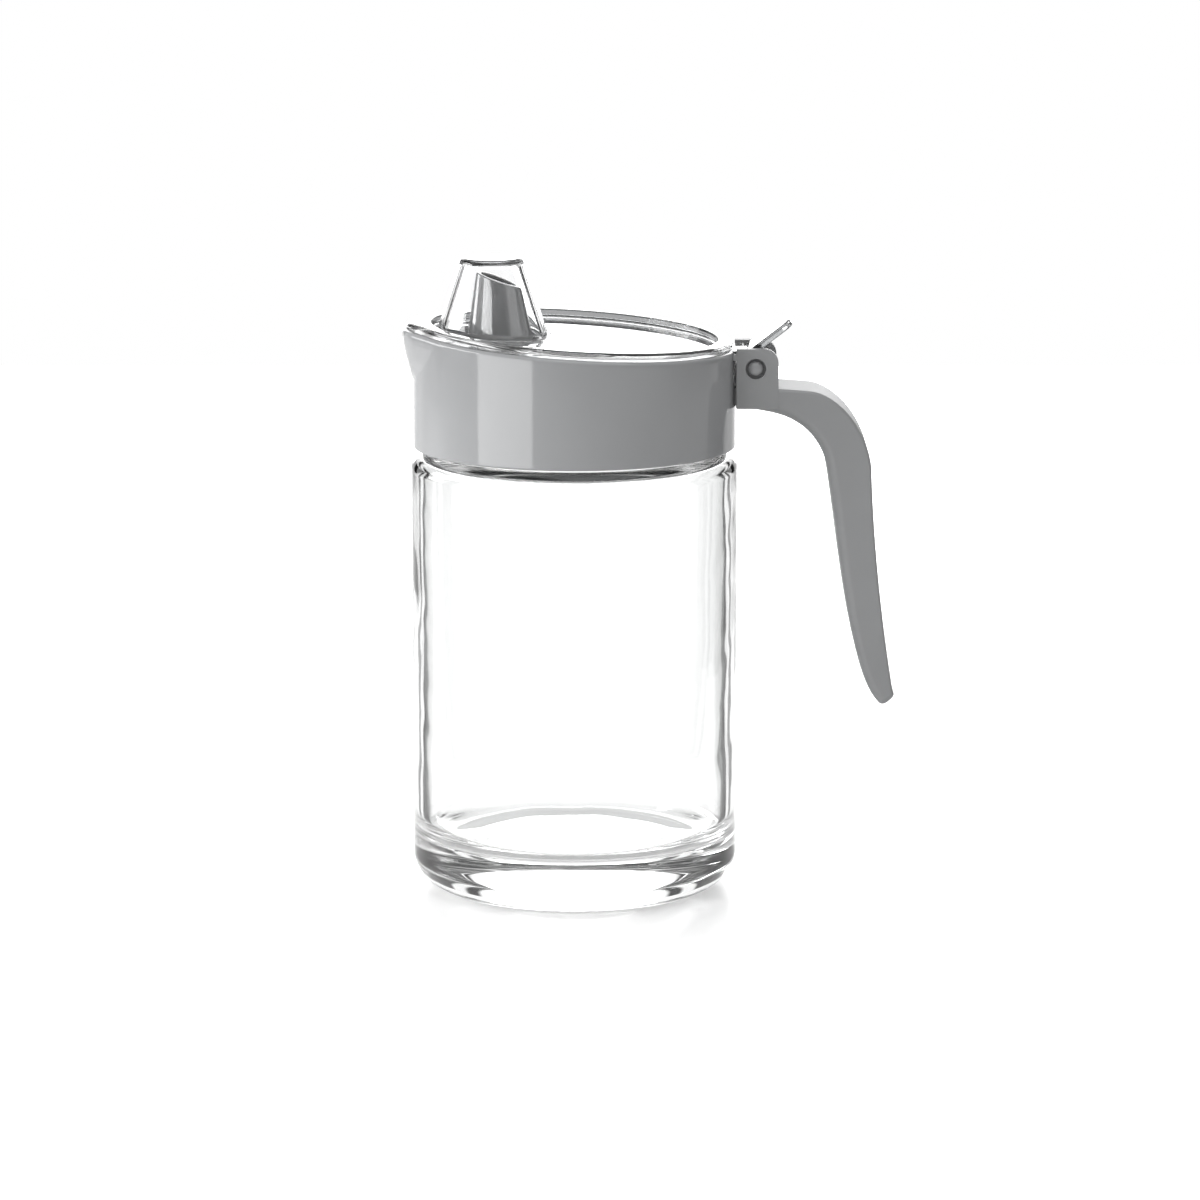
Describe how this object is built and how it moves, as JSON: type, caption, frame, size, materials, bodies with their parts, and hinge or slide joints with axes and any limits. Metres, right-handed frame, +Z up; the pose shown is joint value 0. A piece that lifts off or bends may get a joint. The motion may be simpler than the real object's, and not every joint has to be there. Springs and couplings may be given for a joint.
{
  "type": "oil dispenser",
  "caption": "Glass oil jar with a screw-on pouring head, side handle and a clear lid that a thumb lever tips open over the pour spout.",
  "frame": {"origin": "on the jar's axis, on the flat foot that the jar stands on", "axes": "+Z up along the jar's axis, +X towards the handle, +Y across the hinge pin"},
  "size_m": [0.139, 0.0924, 0.18],
  "materials": {
    "jar_glass": "clear polished glass",
    "gasket": "matt white silicone",
    "deck": "semi-gloss grey",
    "collar": "high gloss grey",
    "handle": "fine satin grey",
    "screws": "plain steel",
    "pin": "grey enamelled pin",
    "clear_lid": "clear moulded acrylic"
  },
  "bodies": {
    "jar": {"jar": "jar_glass"},
    "gasket": {"neck_gasket": "gasket"},
    "head": {"pour_deck": "deck", "spout": "deck", "collar": "collar", "handle": "handle", "handle_screws": "screws", "hinge_pin": "pin", "pin_retainer": "screws"},
    "lid": {"lid": "clear_lid"}
  },
  "joints": [
    {"name": "head_rise", "type": "slide", "parent": "jar", "child": "gasket", "axis": [0, 0, 1], "range_m": [0, 0.0076]},
    {"name": "head_turn", "type": "hinge", "parent": "gasket", "child": "head", "pos_m": [0, 0, 0], "axis": [0, 0, 1], "range_deg": [0, 540]},
    {"name": "lid_hinge", "type": "hinge", "parent": "head", "child": "lid", "pos_m": [0.0509, 0, 0.14979], "axis": [0, 1, 0], "range_deg": [0, 65]}
  ],
  "couplings": [
    {"joint": "head_rise", "follows": "head_turn", "m_per_rad": 0.00079577}
  ]
}
